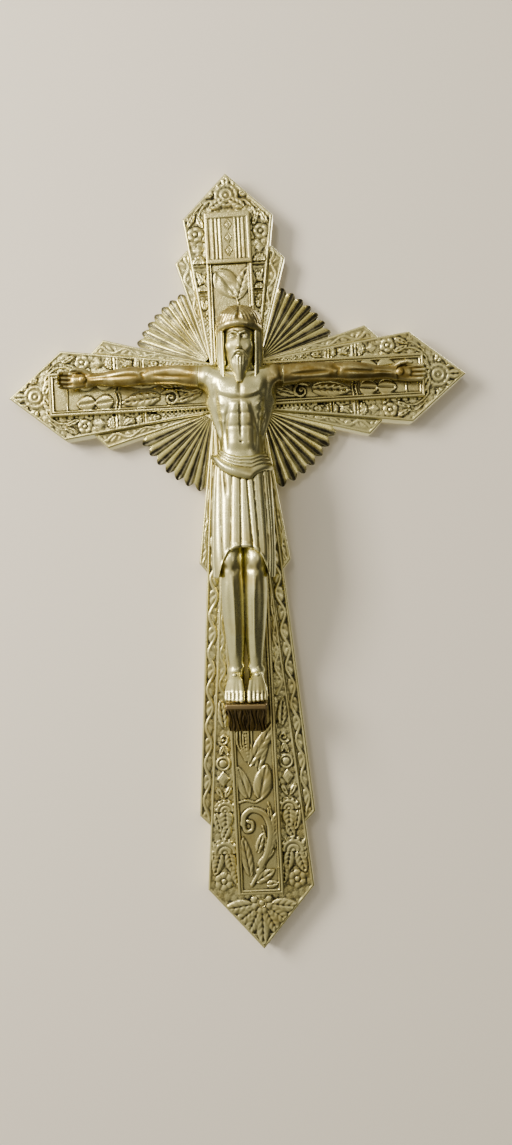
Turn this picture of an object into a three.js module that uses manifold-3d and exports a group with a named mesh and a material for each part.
// A wall crucifix in pressed and cast brass, as an assembly of separate pieces.
//
// The cross is built in tiers, each a thin pressed tray with its edge turned back to the wall: a wide outer tier,
// a lower tier on the long arm, the pointed main cross, and a raised bar cross with sunk panels. Four fluted fans fill
// the corners. The cast figure, its two arms and the foot rest are held by studs and nails whose nuts sit on flat stays
// behind the trays. A ring in a riveted strap hangs the whole piece from a nail.
//
// Every piece is drawn from the front: x to the right, y up, and t, the distance from the wall, towards the viewer.
// The last lines turn that drawing into the part's frame, with +Z up and the wall at Y = 0. Units are millimetres.

import * as THREE from "three";
import { mergeVertices } from "three/addons/utils/BufferGeometryUtils.js";
import Module from "manifold-3d";

const wasm = await Module();
wasm.setup();

// ---- Driving dimensions ----

const GAP = 0.3; // between pieces that touch on the real object
const SHEET = 0.8; // thickness of the pressed sheet
const HEM = 3.3; // width of the edge folded flat against the wall
const CORNER = 14.1; // the tiers and the fans spring from (±CORNER, ±CORNER)

// Arm profiles, as [half width, distance from the crossing], going outwards.
const MAIN_TOP = [[25.6, 95.3], [0, 120.2]];
const MAIN_SIDE = [[25.4, 98.7], [0, 129.5]];
const MAIN_BOTTOM = [[13.4, 96], [30.2, 284.7], [0, 319.8]];
const OUTER_TOP = [[31.1, 71.7], [24.1, 78.8]];
const OUTER_SIDE = [[30.9, 74.5], [23.9, 81.6]];
const OUTER_BOTTOM = [[26, 99.2], [20.4, 106.4]];
const LOWER_TIER = [[14.6, 16], [32.9, 242.8], [26.5, 249.4]];

// Front faces of the tiers, as distances from the wall.
const OUTER_FACE = 8;
const LOWER_FACE = OUTER_FACE + GAP + SHEET;
const MAIN_FACE = LOWER_FACE + GAP + SHEET;
const BAR_BACK = MAIN_FACE + GAP;
const BAR_FACE = BAR_BACK + 3;

// The raised bar cross: half widths, arm lengths, and the width of the frame round its sunk panel and the panel's depth.
const BAR = { halfV: 13, halfH: 12.3, top: 97, side: 105.8, bottom: 287.7, frame: 3, sunk: 0.7 };

// The fans: seven flutes each, cut to a circle about the crossing.
const FAN = { flutes: 7, ridgeReach: 59.3, fluteReach: 62.5, depth: 3.6, start: 1.5 };

// Stays behind the trays. The spine stops below the ring, so that the wall nail has room.
const SPINE = { half: 6, top: 82, bottom: -236, back: 5.4, front: 6.9 };
const STAY = { half: 10, reach: 96, back: 3.6, front: 5.1 };

// The figure stands a little turned on the cross, about a point between its knees.
const TURN = THREE.MathUtils.degToRad(1.8);
const TURN_CENTRE_Y = -105;
const FIGURE_BACK = BAR_FACE + GAP;
const ARM_SEAM = 23; // where the separately cast arms meet the shoulders
const HAND_NAIL = { x: 88, y: 3.5 };
const FOOT_NAIL = { x: 6.4, t: 24.5, head: -161.5 };
const CHEST_STUD_Y = -4;
const REST = { top: -176, lip: -178.6, foot: -194.5, reach: 36.4, halfTop: 11.4, halfFoot: 10.3 };
const REST_STUD_Y = -185;

const STUD_R = 1.5;
const NUT = { across: 2.9, thick: 2 };
const WASHER = { r: 3.4, thick: 0.5 };

// The hanger: a strap whose eye holds a round ring.
const RING = { pivotY: 84, pivotT: 3.1, r: 9, wire: 0.9 };
const EYE = { inner: 1.35, outer: 2, half: 2, tail: 13.5, tailHalf: 3 };
const RIVET = { r: 0.9, head: 1.7, drops: [5.5, 10] };
const NAIL_HEIGHT = RING.pivotY + 2 * RING.r - RING.wire; // where the wall nail takes the ring

// ---- Helpers ----

const BRASS = { colour: 0xb8a878, roughness: 0.42, metalness: 1 };
const WARM_BRASS = { colour: 0xb39a5e, roughness: 0.3, metalness: 1 };
const DARK_BRASS = { colour: 0x6e5a3a, roughness: 0.45, metalness: 1 };
const STEEL = { colour: 0x8d8a84, roughness: 0.5, metalness: 1 };

// A closed geometry as a solid that can be joined and cut. One that is inside out is turned round.
function solid(geometry) {
  const bare = geometry.clone();
  bare.deleteAttribute("normal");
  bare.deleteAttribute("uv");
  const merged = mergeVertices(bare, 1e-4);
  const vertProperties = merged.attributes.position.array;
  const triVerts = new Uint32Array(merged.index.array);
  const first = new wasm.Manifold(new wasm.Mesh({ numProp: 3, vertProperties, triVerts }));
  if (first.volume() >= 0) return first;
  for (let i = 0; i < triVerts.length; i += 3) [triVerts[i + 1], triVerts[i + 2]] = [triVerts[i + 2], triVerts[i + 1]];
  return new wasm.Manifold(new wasm.Mesh({ numProp: 3, vertProperties, triVerts }));
}

function geometryOf(manifold) {
  const mesh = manifold.getMesh();
  const geometry = new THREE.BufferGeometry();
  geometry.setAttribute("position", new THREE.BufferAttribute(mesh.vertProperties, 3));
  geometry.setIndex(new THREE.BufferAttribute(mesh.triVerts, 1));
  return geometry;
}

const join = (solids) => solids.reduce((all, next) => all.add(next));
const cut = (body, ...tools) => tools.reduce((left, tool) => left.subtract(tool), body);

// A flat plate from an outline, between two distances from the wall.
function plate(outline, back, front, holes = []) {
  const shape = new THREE.Shape(outline.map(([x, y]) => new THREE.Vector2(x, y)));
  for (const [x, y, r] of holes) shape.holes.push(new THREE.Path().absarc(x, y, r, 0, 2 * Math.PI, true));
  const geometry = new THREE.ExtrudeGeometry(shape, { depth: front - back, bevelEnabled: false, curveSegments: 8 });
  return solid(geometry.translate(0, 0, back));
}

const box = (x0, x1, y0, y1, back, front) => plate([[x0, y0], [x1, y0], [x1, y1], [x0, y1]], back, front);

// A round rod along t.
function rod(x, y, r, back, front, sides = 16) {
  const geometry = new THREE.CylinderGeometry(r, r, front - back, sides).rotateX(Math.PI / 2);
  return solid(geometry.translate(x, y, (back + front) / 2));
}

// The outline moved inwards by a distance, or outwards where it is negative. The outline runs anticlockwise.
function inset(outline, distance) {
  const n = outline.length;
  return outline.map((point, i) => {
    const before = outline[(i + n - 1) % n];
    const after = outline[(i + 1) % n];
    const a = new THREE.Vector2(point[0] - before[0], point[1] - before[1]).normalize();
    const b = new THREE.Vector2(after[0] - point[0], after[1] - point[1]).normalize();
    const inward = new THREE.Vector2(-a.y - b.y, a.x + b.x);
    const scale = distance / (1 + a.dot(b));
    return [point[0] + inward.x * scale, point[1] + inward.y * scale];
  });
}

// Both sides of an arm's profile, out along one side and back along the other.
const bothSides = (profile) => [...profile, ...profile.filter(([w]) => w > 0).map(([w, l]) => [-w, l]).reverse()];

// The outline of a cross whose four arms spring from the corners.
function crossOutline(top, side, bottom) {
  const c = CORNER;
  return [
    [c, -c],
    ...bothSides(side).map(([w, l]) => [l, -w]),
    [c, c],
    ...bothSides(top).map(([w, l]) => [w, l]),
    [-c, c],
    ...bothSides(side).map(([w, l]) => [-l, w]),
    [-c, -c],
    ...bothSides(bottom).map(([w, l]) => [-w, -l]),
  ];
}

// A pressed tray: a face, a rim back to the wall and a hem, clear of whatever lies behind it.
function tray(outline, face, behind = []) {
  const whole = plate(outline, 0, face);
  const hollow = plate(inset(outline, SHEET), SHEET, face - SHEET);
  const mouth = plate(inset(outline, HEM), -1, 2 * SHEET);
  return cut(whole, hollow, mouth, ...behind);
}

// A limb through elliptical sections [along, u, v, ru, rv]; "place" turns (along, u, v) into (x, y, t).
function limb(sections, place, sides = 16) {
  const points = [];
  for (const [along, u, v, ru, rv] of sections) {
    for (let k = 0; k < sides; k++) {
      const angle = (2 * Math.PI * k) / sides;
      points.push(...place(along, u + ru * Math.cos(angle), v + rv * Math.sin(angle)));
    }
  }
  const ends = [sections[0], sections[sections.length - 1]];
  for (const [along, u, v] of ends) points.push(...place(along, u, v));
  const faces = [];
  for (let s = 0; s + 1 < sections.length; s++) {
    for (let k = 0; k < sides; k++) {
      const next = (k + 1) % sides;
      const [a, b, c, d] = [s * sides + k, s * sides + next, (s + 1) * sides + next, (s + 1) * sides + k];
      faces.push(a, b, c, a, c, d);
    }
  }
  const first = sections.length * sides;
  const lastRing = (sections.length - 1) * sides;
  for (let k = 0; k < sides; k++) {
    const next = (k + 1) % sides;
    faces.push(first, next, k, first + 1, lastRing + k, lastRing + next);
  }
  const geometry = new THREE.BufferGeometry();
  geometry.setAttribute("position", new THREE.Float32BufferAttribute(points, 3));
  geometry.setIndex(faces);
  return solid(geometry);
}

// The ways that a limb can run: up, sideways and forward.
const upright = (y, x, t) => [x, y, t];
const sideways = (x, y, t) => [x, y, t];
const forward = (t, x, y) => [x, y, t];

function ball(x, y, t, rx, ry, rt) {
  const geometry = new THREE.SphereGeometry(1, 16, 10).scale(rx, ry, rt);
  return solid(geometry.translate(x, y, t));
}

// The figure's own place on the cross, after its small turn.
function turned(x, y) {
  const rise = y - TURN_CENTRE_Y;
  return [
    x * Math.cos(TURN) + rise * Math.sin(TURN),
    TURN_CENTRE_Y + rise * Math.cos(TURN) - x * Math.sin(TURN),
  ];
}

// ---- Through holes for the studs and nails ----

const HAND_HOLES = [-1, 1].map((side) => turned(side * HAND_NAIL.x, HAND_NAIL.y));
const CHEST_HOLE = turned(0, CHEST_STUD_Y);
const REST_HOLE = turned(0, REST_STUD_Y);
const drillings = [...HAND_HOLES, CHEST_HOLE, REST_HOLE].map(([x, y]) => rod(x, y, STUD_R + GAP, -1, BAR_FACE + 1));

// ---- The tiers of the cross ----

const outerOutline = crossOutline(OUTER_TOP, OUTER_SIDE, OUTER_BOTTOM);
const mainOutline = crossOutline(MAIN_TOP, MAIN_SIDE, MAIN_BOTTOM);
const lowerOutline = bothSides(LOWER_TIER).map(([w, l]) => [-w, -l]);

const outerEnvelope = plate(inset(outerOutline, -GAP), -1, OUTER_FACE + GAP);
const lowerEnvelope = plate(inset(lowerOutline, -GAP), -1, LOWER_FACE + GAP);

// The stays run through notches in the rims that they cross.
const spineNotch = box(-SPINE.half - 1, SPINE.half + 1, -110, 90, -1, OUTER_FACE - SHEET);
const stayNotch = box(-110, 110, -STAY.half - 1, STAY.half + 1, -1, OUTER_FACE - SHEET);

// The ring swings down through a wider notch in the top rim.
const ringRoom = RING.r + RING.wire + 2;
const ringNotch = box(-ringRoom, ringRoom, 66, 90, -1, OUTER_FACE - SHEET);

const outerTier = cut(tray(outerOutline, OUTER_FACE), spineNotch, stayNotch, ringNotch, ...drillings);
const lowerTier = cut(tray(lowerOutline, LOWER_FACE, [outerEnvelope]), ...drillings);
const mainCross = cut(tray(mainOutline, MAIN_FACE, [outerEnvelope, lowerEnvelope]), ...drillings);

function barCross() {
  const { halfV, halfH, top, side, bottom, frame, sunk } = BAR;
  const outline = [
    [halfV, -halfH], [side, -halfH], [side, halfH], [halfV, halfH], [halfV, top], [-halfV, top],
    [-halfV, halfH], [-side, halfH], [-side, -halfH], [-halfV, -halfH], [-halfV, -bottom], [halfV, -bottom],
  ];
  const floor = BAR_FACE - sunk;
  const hollow = plate(inset(outline, SHEET), BAR_BACK - 1, floor - SHEET);
  const panel = plate(inset(outline, frame), floor, BAR_FACE + 1);
  return cut(plate(outline, BAR_BACK, BAR_FACE), hollow, panel, ...drillings);
}

// A fan of flutes between two tier edges. sx and sy are 1 or -1 and pick the corner.
function fan(sx, sy) {
  const sideEdge = Math.atan2(OUTER_SIDE[0][0] - CORNER, OUTER_SIDE[0][1] - CORNER);
  const upEdge = sy > 0 ? OUTER_TOP[0] : OUTER_BOTTOM[0];
  const farEdge = Math.atan2(upEdge[1] - CORNER, upEdge[0] - CORNER);
  const middle = (sideEdge + farEdge) / 2;
  const setBack = GAP / Math.sin((farEdge - sideEdge) / 2);
  const apex = [CORNER + setBack * Math.cos(middle), CORNER + setBack * Math.sin(middle)];
  const perFlute = 4;
  const columns = FAN.flutes * perFlute;
  const rows = [[], []];
  for (let i = 0; i <= columns; i++) {
    const angle = sideEdge + ((farEdge - sideEdge) * i) / columns;
    const dip = Math.sin((Math.PI * (i % perFlute)) / perFlute); // 0 on a ridge, 1 in the middle of a flute
    const reach = FAN.ridgeReach + (FAN.fluteReach - FAN.ridgeReach) * dip;
    const along = apex[0] * Math.cos(angle) + apex[1] * Math.sin(angle);
    const out = -along + Math.sqrt(along ** 2 + reach ** 2 - apex[0] ** 2 - apex[1] ** 2);
    [FAN.start, out].forEach((r, row) => {
      const sunk = (FAN.depth * dip * r) / out;
      rows[row].push([sx * (apex[0] + r * Math.cos(angle)), sy * (apex[1] + r * Math.sin(angle)), OUTER_FACE - sunk]);
    });
  }
  return sheetSolid(rows, SHEET);
}

// A closed sheet of even thickness, from the grid of points on its front.
function sheetSolid(rows, thickness) {
  const m = rows[0].length;
  const n = rows.length;
  const front = rows.flat();
  const points = [...front, ...front.map(([x, y, t]) => [x, y, t - thickness])].flat();
  const faces = [];
  const back = n * m;
  const quad = (a, b, c, d) => faces.push(a, b, c, a, c, d);
  for (let r = 0; r + 1 < n; r++) {
    for (let i = 0; i + 1 < m; i++) {
      const a = r * m + i;
      quad(a, a + 1, a + m + 1, a + m);
      quad(back + a, back + a + m, back + a + m + 1, back + a + 1);
    }
  }
  for (let i = 0; i + 1 < m; i++) {
    const far = (n - 1) * m + i;
    quad(i, back + i, back + i + 1, i + 1);
    quad(far, far + 1, back + far + 1, back + far);
  }
  for (let r = 0; r + 1 < n; r++) {
    const a = r * m;
    const z = a + m - 1;
    quad(a, a + m, back + a + m, back + a);
    quad(z, back + z, back + z + m, z + m);
  }
  const geometry = new THREE.BufferGeometry();
  geometry.setAttribute("position", new THREE.Float32BufferAttribute(points, 3));
  geometry.setIndex(faces);
  return solid(geometry);
}

// ---- The figure ----

function figureBody() {
  const torso = limb(
    [
      [-52, 0, 24, 15.2, 9.8], [-40, 0, 24.2, 11.6, 8.8], [-32, 0, 24.6, 10.9, 8.8], [-20, 0, 25.2, 14.6, 10],
      [-10, 0, 25.6, 18.2, 10.6], [-2, 0, 25, 18.8, 9.4], [4, 0, 24.4, 14.5, 6.6], [8, 0, 25, 6.5, 5],
    ],
    upright,
  );
  const shoulders = limb(
    [
      [-ARM_SEAM, 2.6, 24.4, 5.8, 5.8], [-15, 0.6, 24.6, 7.4, 7.4], [15, 0.6, 24.6, 7.4, 7.4],
      [ARM_SEAM, 2.6, 24.4, 5.8, 5.8],
    ],
    sideways,
  );
  const neck = limb([[2, 0, 26, 6, 6], [16, 0, 29, 5.6, 5.6]], upright);
  const skull = ball(0, 19, 30.5, 8.4, 14.5, 10);
  const beard = limb([[-2.6, 0, 35.6, 1, 1], [3, 0, 34.4, 4, 4], [12, 0, 33.4, 6.4, 5]], upright, 12);
  const hair = ball(0, 29.5, 28, 13, 10.3, 12.4);
  const locks = [-1, 1].map((side) =>
    limb(
      [[-5, side * 9.4, 30.5, 1.6, 2], [8, side * 9.6, 30, 2.6, 5], [26, side * 10, 28.5, 2.8, 7]],
      upright,
      12,
    ),
  );
  const cloth = limb(
    [
      [-106, 0, 27, 16.8, 11.6], [-95, 0, 27, 17.2, 12.2], [-80, 0, 26.2, 17, 11.8], [-60, 0, 25.2, 16.4, 11],
      [-49, 0, 24.8, 16, 10.6], [-45, 0, 24.6, 14.4, 9.8],
    ],
    upright,
    20,
  );
  const legs = [-1, 1].map((side) =>
    limb(
      [
        [-164, side * 6.2, 20.4, 3.8, 4.4], [-157, side * 6.2, 21, 3.6, 4.4], [-140, side * 6.9, 23.8, 4.9, 6],
        [-120, side * 7.2, 26.6, 6.1, 7.8], [-104, side * 7.2, 29.4, 6.1, 8], [-96, side * 7.3, 30.5, 6.4, 8.4],
        [-85, side * 7.4, 27, 6.4, 8],
      ],
      upright,
      12,
    ),
  );
  const feet = [-1, 1].map((side) =>
    limb(
      [
        [15.2, side * 6, -169.5, 2.6, 3], [18, side * 6, -168.3, 3.9, 7], [23, side * 6.2, -168.2, 4.4, 7.2],
        [28, side * 6.3, -171, 5, 4.5], [33.6, side * 6.2, -173.2, 5, 2.3], [35.4, side * 6.2, -173.8, 4.2, 1.6],
      ],
      forward,
      12,
    ),
  );
  const whole = join([torso, shoulders, neck, skull, beard, hair, ...locks, cloth, ...legs, ...feet]);
  const backCut = box(-60, 60, -200, 60, -5, FIGURE_BACK);
  const hollows = [
    limb([[-98, 0, 20, 11, 13.6], [-52, 0, 19, 10.5, 12]], upright),
    limb([[-54, 0, 19, 7, 10], [-32, 0, 19, 6, 9.5], [-14, 0, 19, 9, 9.5]], upright),
  ];
  const sockets = [-1, 1].map((side) => armSpigot(side, GAP));
  const studHole = rod(0, CHEST_STUD_Y, STUD_R + GAP, 0, 22.5);
  const nailHoles = [-1, 1].map((side) => footNail(side, GAP));
  return cut(whole, backCut, ...hollows, ...sockets, studHole, ...nailHoles);
}

// The round spigot by which an arm sits in the shoulder.
function armSpigot(side, room) {
  const [inner, outer] = [ARM_SEAM - 7 - room, ARM_SEAM + 2];
  const geometry = new THREE.CylinderGeometry(2.6 + room, 2.6 + room, outer - inner, 16).rotateZ(Math.PI / 2);
  return solid(geometry.translate((side * (inner + outer)) / 2, 2.6, 24.4));
}

function figureArm(side) {
  const arm = limb(
    [
      [ARM_SEAM + GAP, 2.6, 24.4, 5.8, 5.8], [35, 4, 23.4, 5.2, 5.3], [48, 4.3, 22.2, 4.9, 4.9],
      [57, 4.2, 21.6, 5.2, 5.1], [66, 4, 20.4, 4.6, 4.5], [76, 3.8, 18.8, 3.3, 3.5], [80, 3.7, 18, 4.1, 3.1],
      [85, 3.5, 17.3, 5.8, 2.9], [92, 3.5, 17, 6, 2.7], [98, 3.5, 17.6, 5, 2.4], [102, 3.4, 18.2, 3.4, 1.8],
    ].map(([x, ...rest]) => [side * x, ...rest]),
    sideways,
  );
  const backCut = box(-110, 110, -20, 20, -5, FIGURE_BACK);
  const hole = rod(side * HAND_NAIL.x, HAND_NAIL.y, STUD_R + GAP, 0, 40);
  return cut(arm.add(armSpigot(side, 0)), backCut, hole);
}

// A nail down through the foot into the rest. "room" widens it for the hole.
function footNail(side, room) {
  const bottom = REST.top - 3 - room;
  const shank = new THREE.CylinderGeometry(0.7 + room, 0.7 + room, FOOT_NAIL.head - bottom, 12);
  const head = new THREE.CylinderGeometry(1.1 + room, 1.5 + room, 1 + room, 12);
  const x = side * FOOT_NAIL.x;
  return solid(shank.translate(x, (FOOT_NAIL.head + bottom) / 2, FOOT_NAIL.t)).add(
    solid(head.translate(x, FOOT_NAIL.head + 0.5, FOOT_NAIL.t)),
  );
}

function footRest() {
  const profile = [
    [FIGURE_BACK, REST.top], [REST.reach, REST.top], [REST.reach, REST.lip], [17, REST.foot], [FIGURE_BACK, REST.foot],
  ];
  const shape = new THREE.Shape(profile.map(([t, y]) => new THREE.Vector2(t, y)));
  const geometry = new THREE.ExtrudeGeometry(shape, { depth: 2, bevelEnabled: false }).translate(0, 0, -1);
  const position = geometry.attributes.position;
  for (let i = 0; i < position.count; i++) {
    const [t, y, across] = [position.getX(i), position.getY(i), position.getZ(i)];
    const share = (REST.top - y) / (REST.top - REST.foot);
    position.setXYZ(i, across * THREE.MathUtils.lerp(REST.halfTop, REST.halfFoot, share), y, t);
  }
  const studHole = rod(0, REST_STUD_Y, STUD_R + GAP, 0, 20);
  return cut(solid(geometry), studHole, footNail(-1, GAP), footNail(1, GAP));
}

// A domed nail through the hand, the cross and a stay.
function handNail(side) {
  const { x, y } = HAND_NAIL;
  const head = new THREE.CylinderGeometry(1.1, 2.4, 1.6, 8).rotateX(Math.PI / 2);
  return rod(side * x, y, STUD_R, 0.4, 20.2).add(solid(head.translate(side * x, y, 20.9)));
}

// ---- Nuts, washers and the hanger ----

function washer([x, y], seat) {
  const circle = new THREE.Path().absarc(x, y, WASHER.r, 0, 2 * Math.PI).getPoints(16).slice(0, -1);
  return plate(circle.map((p) => [p.x, p.y]), seat - WASHER.thick, seat, [[x, y, STUD_R + GAP]]);
}

function nut([x, y], seat) {
  const corners = [0, 1, 2, 3, 4, 5].map((k) => (k * Math.PI) / 3);
  const hex = corners.map((a) => [x + NUT.across * Math.cos(a), y + NUT.across * Math.sin(a)]);
  return plate(hex, seat - NUT.thick, seat, [[x, y, STUD_R + GAP]]);
}

function rivet(drop) {
  const y = RING.pivotY - drop;
  const strapBack = RING.pivotT + EYE.outer - SHEET + 0.1;
  const head = new THREE.CylinderGeometry(RIVET.head, RIVET.head * 0.6, 0.6, 12).rotateX(Math.PI / 2);
  return rod(0, y, RIVET.r, strapBack - GAP - 0.4, SPINE.front - 0.1, 12).add(
    solid(head.translate(0, y, strapBack - GAP - 0.3)),
  );
}

function hangerStrap() {
  const { pivotY, pivotT } = RING;
  const front = pivotT + EYE.outer;
  const eye = new THREE.CylinderGeometry(EYE.outer, EYE.outer, 2 * EYE.half, 20).rotateZ(Math.PI / 2);
  const bore = new THREE.CylinderGeometry(EYE.inner, EYE.inner, 8, 20).rotateZ(Math.PI / 2);
  const tail = box(-EYE.tailHalf, EYE.tailHalf, pivotY - EYE.tail, pivotY - 2.4, front - 0.7, front);
  const neck = box(-EYE.half, EYE.half, pivotY - 3, pivotY, front - 0.7, front);
  const holes = RIVET.drops.map((drop) => rod(0, pivotY - drop, RIVET.r + GAP, 0, 9, 12));
  return cut(
    join([solid(eye.translate(0, pivotY, pivotT)), tail, neck]),
    solid(bore.translate(0, pivotY, pivotT)),
    ...holes,
  );
}

function hangingRing() {
  const ring = new THREE.TorusGeometry(RING.r, RING.wire, 10, 36);
  return solid(ring.translate(0, RING.pivotY + RING.r, RING.pivotT));
}

const spineHoles = [
  [...CHEST_HOLE, STUD_R + GAP],
  [...REST_HOLE, STUD_R + GAP],
  ...RIVET.drops.map((drop) => [0, RING.pivotY - drop, RIVET.r + GAP]),
];
const spine = plate(
  [[-SPINE.half, SPINE.bottom], [SPINE.half, SPINE.bottom], [SPINE.half, SPINE.top], [-SPINE.half, SPINE.top]],
  SPINE.back,
  SPINE.front,
  spineHoles,
);
const stay = plate(
  [[-STAY.reach, -STAY.half], [STAY.reach, -STAY.half], [STAY.reach, STAY.half], [-STAY.reach, STAY.half]],
  STAY.back,
  STAY.front,
  [...HAND_HOLES, CHEST_HOLE].map(([x, y]) => [x, y, STUD_R + GAP]),
);

const TITLE = { half: 12.6, foot: 68, head: 96.6, thick: 1 };
const titlePlate = box(-TITLE.half, TITLE.half, TITLE.foot, TITLE.head, BAR_FACE + GAP, BAR_FACE + GAP + TITLE.thick);

// ---- Assembly ----

function addTo(group, name, body, look) {
  const material = new THREE.MeshStandardMaterial({
    color: look.colour,
    roughness: look.roughness,
    metalness: look.metalness,
  });
  const mesh = new THREE.Mesh(geometryOf(body), material);
  mesh.name = name;
  group.add(mesh);
}

const crucifix = new THREE.Group();
crucifix.rotation.x = Math.PI / 2; // the drawing's y becomes Z, and t runs towards -Y
crucifix.position.z = -NAIL_HEIGHT;

addTo(crucifix, "main_cross", mainCross, BRASS);
addTo(crucifix, "outer_tier", outerTier, BRASS);
addTo(crucifix, "lower_tier", lowerTier, BRASS);
addTo(crucifix, "raised_bar_cross", barCross(), BRASS);
addTo(crucifix, "title_plate", titlePlate, BRASS);
addTo(crucifix, "fan_upper_left", fan(-1, 1), BRASS);
addTo(crucifix, "fan_upper_right", fan(1, 1), BRASS);
addTo(crucifix, "fan_lower_left", fan(-1, -1), BRASS);
addTo(crucifix, "fan_lower_right", fan(1, -1), BRASS);
addTo(crucifix, "spine_stay", spine, STEEL);
addTo(crucifix, "cross_stay", stay, STEEL);
addTo(crucifix, "hanger_strap", hangerStrap(), BRASS);
addTo(crucifix, "hanging_ring", hangingRing(), BRASS);
addTo(crucifix, "hanger_rivet_upper", rivet(RIVET.drops[0]), BRASS);
addTo(crucifix, "hanger_rivet_lower", rivet(RIVET.drops[1]), BRASS);

const figure = new THREE.Group();
figure.position.y = TURN_CENTRE_Y;
figure.rotation.z = -TURN;
const untilted = new THREE.Group();
untilted.position.y = -TURN_CENTRE_Y;
figure.add(untilted);
crucifix.add(figure);

addTo(untilted, "figure_body", figureBody(), WARM_BRASS);
addTo(untilted, "foot_rest", footRest(), DARK_BRASS);
[["left", -1], ["right", 1]].forEach(([word, side], i) => {
  addTo(untilted, "figure_arm_" + word, figureArm(side), WARM_BRASS);
  addTo(untilted, "hand_nail_" + word, handNail(side), WARM_BRASS);
  addTo(untilted, "foot_nail_" + word, footNail(side, 0), WARM_BRASS);
  addTo(crucifix, "hand_washer_" + word, washer(HAND_HOLES[i], STAY.back - GAP), STEEL);
  addTo(crucifix, "hand_nut_" + word, nut(HAND_HOLES[i], STAY.back - 2 * GAP - WASHER.thick), STEEL);
});
addTo(untilted, "chest_stud", rod(0, CHEST_STUD_Y, STUD_R, 0.4, 22), STEEL);
addTo(untilted, "foot_rest_stud", rod(0, REST_STUD_Y, STUD_R, 2, 19.5), STEEL);
addTo(crucifix, "chest_washer", washer(CHEST_HOLE, STAY.back - GAP), STEEL);
addTo(crucifix, "chest_nut", nut(CHEST_HOLE, STAY.back - 2 * GAP - WASHER.thick), STEEL);
addTo(crucifix, "foot_rest_washer", washer(REST_HOLE, SPINE.back - GAP), STEEL);
addTo(crucifix, "foot_rest_nut", nut(REST_HOLE, SPINE.back - 2 * GAP - WASHER.thick), STEEL);

export default crucifix;
